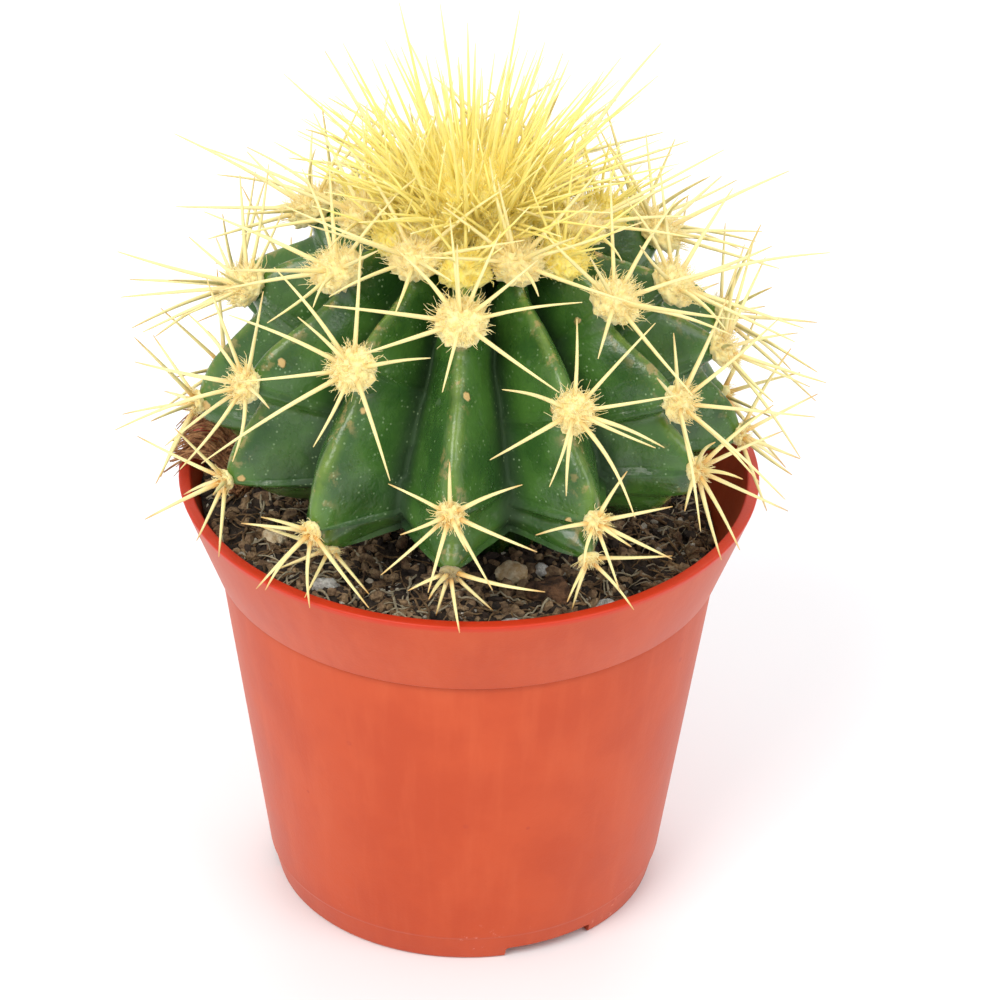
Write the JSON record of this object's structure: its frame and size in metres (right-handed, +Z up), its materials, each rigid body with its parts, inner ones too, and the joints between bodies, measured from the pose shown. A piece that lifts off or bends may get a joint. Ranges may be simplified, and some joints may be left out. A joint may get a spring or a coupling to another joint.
{
  "type": "potted round cactus",
  "caption": "Young round barrel cactus with yellow spines in a small flared plastic nursery pot of potting mix.",
  "frame": {"origin": "centre of the pot's footprint on the surface it stands on", "axes": "+Z up along the pot's axis; -Y is the side shown to the front"},
  "size_m": [0.101, 0.1003, 0.14],
  "materials": {
    "pot": "satin, moulded, orange-red",
    "potting_mix": "matt, crumbly, dark brown",
    "stem": "waxy, glossy, dark green with paler crests",
    "crown": "yellow wool and young spines",
    "areole": "cream wool with pale yellow spines",
    "stone": "matt tan stone",
    "perlite": "matt, porous, off-white",
    "bark": "rough, dark brown",
    "coir": "coarse brown fibre"
  },
  "bodies": {
    "root": {"areole_01_1": "areole", "areole_01_2": "areole", "areole_01_3": "areole", "areole_02_1": "areole", "areole_02_2": "areole", "areole_02_3": "areole", "areole_02_4": "areole", "areole_03_1": "areole", "areole_03_2": "areole", "areole_03_3": "areole", "areole_04_1": "areole", "areole_04_2": "areole", "areole_04_3": "areole", "areole_04_4": "areole", "areole_05_1": "areole", "areole_05_2": "areole", "areole_05_3": "areole", "areole_06_1": "areole", "areole_06_2": "areole", "areole_06_3": "areole", "areole_07_1": "areole", "areole_07_2": "areole", "areole_07_3": "areole", "areole_08_1": "areole", "areole_08_2": "areole", "areole_08_3": "areole", "areole_09_1": "areole", "areole_09_2": "areole", "areole_09_3": "areole", "areole_10_1": "areole", "areole_10_2": "areole", "areole_10_3": "areole", "areole_11_1": "areole", "areole_11_2": "areole", "areole_11_3": "areole", "areole_12_1": "areole", "areole_12_2": "areole", "areole_12_3": "areole", "areole_13_1": "areole", "areole_13_2": "areole", "areole_13_3": "areole", "areole_13_4": "areole", "bark_chip": "bark", "coir_clump": "coir", "crown": "crown", "grit_stone": "stone", "grit_stone_rear": "stone", "perlite_front": "perlite", "perlite_left": "perlite", "perlite_rear": "perlite", "perlite_right": "perlite", "pot": "pot", "potting_mix": "potting_mix", "stem": "stem", "stone_chip": "perlite", "tan_stone": "stone"}
  },
  "joints": []
}
